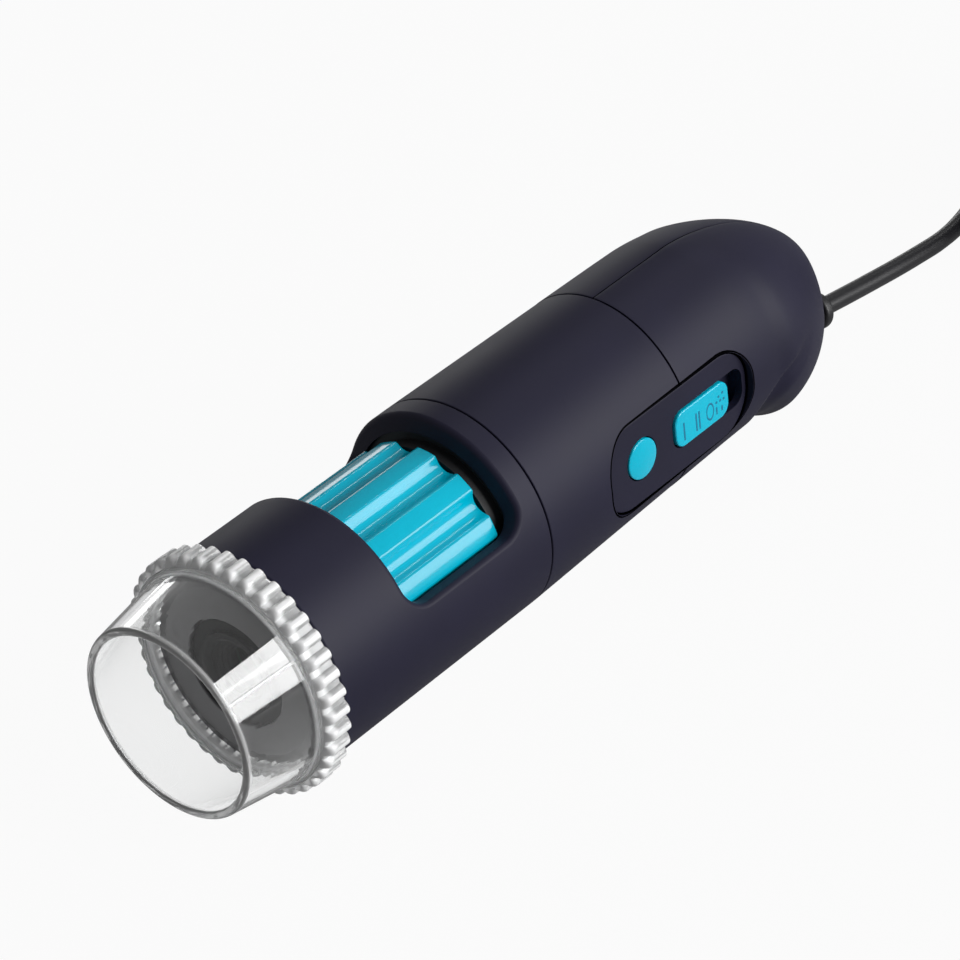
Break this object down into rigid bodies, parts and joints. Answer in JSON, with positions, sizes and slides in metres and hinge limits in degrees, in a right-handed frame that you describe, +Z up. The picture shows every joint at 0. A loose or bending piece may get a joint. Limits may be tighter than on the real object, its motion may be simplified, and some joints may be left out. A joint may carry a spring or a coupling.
{
  "type": "usb digital microscope",
  "caption": "Hand-held USB microscope: round barrel, clear pull-off cap, windowed focus dial that drives a lens carriage, push button, slide switch, coiled cable.",
  "frame": {"origin": "on the table, under the middle of the housing's length and width, cable left out", "axes": "+X along the barrel from the cap to the cable, +Z up with the part lying on its ring and heel, window and parting line up, buttons to -Y"},
  "size_m": [0.2349, 0.0549, 0.036],
  "materials": {
    "clear": "clear polished",
    "dark_grey": "satin",
    "black": "matt",
    "board": "solder mask",
    "led": "clear",
    "charcoal": "soft touch",
    "cyan": "gloss",
    "lens": "polished",
    "steel": "plated",
    "chip": "matt",
    "flex": "film",
    "white": "gloss",
    "cord": "satin",
    "gold": "plated"
  },
  "bodies": {
    "housing": {"nose_bezel": "dark_grey", "led_diffuser": "black", "lens_hood": "dark_grey", "led_board": "board", "leds": "led", "front_sleeve": "charcoal", "core_tube": "black", "joint_ring": "black", "sensor_board": "board", "image_sensor": "chip", "sensor_screws": "steel", "sensor_flex": "flex", "mid_sleeve": "charcoal", "main_board": "board", "image_processor": "chip", "tact_switch": "black", "slide_switch": "steel", "cable_header": "white", "cable_tail": "cord", "button_plate": "charcoal", "tail_shell_near": "charcoal", "tail_shell_far": "charcoal", "strain_relief": "cord", "cable": "cord", "cable_coil": "cord", "plug_body": "black", "plug_shell": "steel", "plug_tongue": "white", "plug_contacts": "gold"},
    "cap": {"clear_cap": "clear"},
    "dial": {"focus_dial": "cyan"},
    "carriage": {"lens_carriage": "black", "front_lens": "lens", "lens_spacer": "black", "rear_lens": "lens", "lens_ring": "black", "cam_pins": "steel"},
    "button": {"shutter_button": "cyan"},
    "slider": {"led_slider": "cyan"}
  },
  "joints": [
    {"name": "dial_turn", "type": "hinge", "parent": "housing", "child": "dial", "pos_m": [-0.02805, 0, 0.018], "axis": [1, 0, 0], "range_deg": [-135, 135]},
    {"name": "lens_focus", "type": "slide", "parent": "housing", "child": "carriage", "axis": [1, 0, 0], "range_m": [-0.00302, 0.00302]},
    {"name": "button_press", "type": "slide", "parent": "housing", "child": "button", "axis": [0, 1, 0], "range_m": [0, 0.0005], "stiffness_N_per_m": 800, "springref_m": -0.0005},
    {"name": "led_slide", "type": "slide", "parent": "housing", "child": "slider", "axis": [1, 0, 0], "range_m": [0, 0.0033]},
    {"name": "cap_pull", "type": "slide", "parent": "housing", "child": "cap", "axis": [-1, 0, 0], "range_m": [0, 0.012]}
  ],
  "couplings": [
    {"joint": "lens_focus", "follows": "dial_turn", "m_per_rad": 0.0012732}
  ]
}
